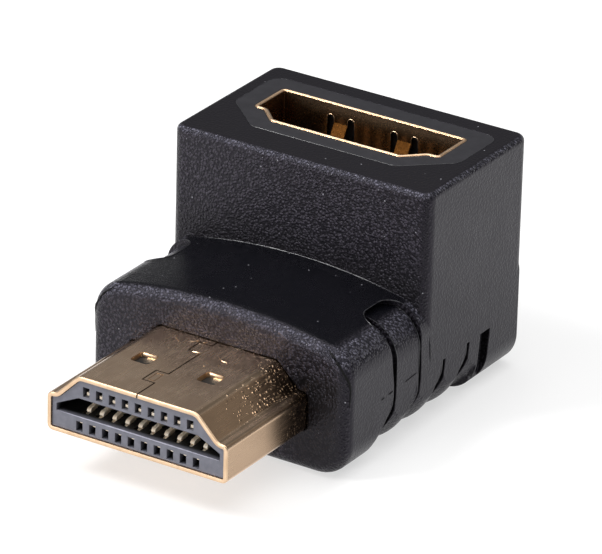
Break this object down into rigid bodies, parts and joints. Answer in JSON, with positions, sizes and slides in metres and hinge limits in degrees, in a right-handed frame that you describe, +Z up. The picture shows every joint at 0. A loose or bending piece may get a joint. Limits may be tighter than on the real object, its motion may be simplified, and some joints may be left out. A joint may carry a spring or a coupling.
{
  "type": "right angle digital video adapter",
  "caption": "Right angle digital video adapter: a flat gold-plated plug points out of a low ribbed body, and the matching socket opens upward in the tall block behind it.",
  "frame": {"origin": "middle of the part's width and length, on the plane that its underside rests on", "axes": "-Y along the plug, towards its mouth; +Z up, out of the socket's mouth; +X across, along the rows of contacts"},
  "size_m": [0.02, 0.0314, 0.017],
  "materials": {
    "outer_mould": "soft black moulding with a fine pebble grain",
    "inner_mould": "hard black moulding, smooth satin",
    "gold_shell": "satin gold plating on sheet steel",
    "plug_insulator": "blue grey plastic, satin",
    "socket_insulator": "black plastic, satin",
    "contacts": "pale gold flash on copper alloy",
    "circuit_board": "green glass fibre laminate"
  },
  "bodies": {
    "root": {"outer_mould": "outer_mould", "inner_mould": "inner_mould", "plug_shell": "gold_shell", "plug_insulator": "plug_insulator", "circuit_board": "circuit_board", "socket_shell": "gold_shell", "socket_insulator": "socket_insulator", "plug_contact_wide_01": "contacts", "plug_contact_wide_02": "contacts", "plug_contact_wide_03": "contacts", "plug_contact_wide_04": "contacts", "plug_contact_wide_05": "contacts", "plug_contact_wide_06": "contacts", "plug_contact_wide_07": "contacts", "plug_contact_wide_08": "contacts", "plug_contact_wide_09": "contacts", "plug_contact_wide_10": "contacts", "plug_contact_narrow_01": "contacts", "plug_contact_narrow_02": "contacts", "plug_contact_narrow_03": "contacts", "plug_contact_narrow_04": "contacts", "plug_contact_narrow_05": "contacts", "plug_contact_narrow_06": "contacts", "plug_contact_narrow_07": "contacts", "plug_contact_narrow_08": "contacts", "plug_contact_narrow_09": "contacts", "socket_contact_wide_01": "contacts", "socket_contact_wide_02": "contacts", "socket_contact_wide_03": "contacts", "socket_contact_wide_04": "contacts", "socket_contact_wide_05": "contacts", "socket_contact_wide_06": "contacts", "socket_contact_wide_07": "contacts", "socket_contact_wide_08": "contacts", "socket_contact_wide_09": "contacts", "socket_contact_wide_10": "contacts", "socket_contact_narrow_01": "contacts", "socket_contact_narrow_02": "contacts", "socket_contact_narrow_03": "contacts", "socket_contact_narrow_04": "contacts", "socket_contact_narrow_05": "contacts", "socket_contact_narrow_06": "contacts", "socket_contact_narrow_07": "contacts", "socket_contact_narrow_08": "contacts", "socket_contact_narrow_09": "contacts"}
  },
  "joints": []
}
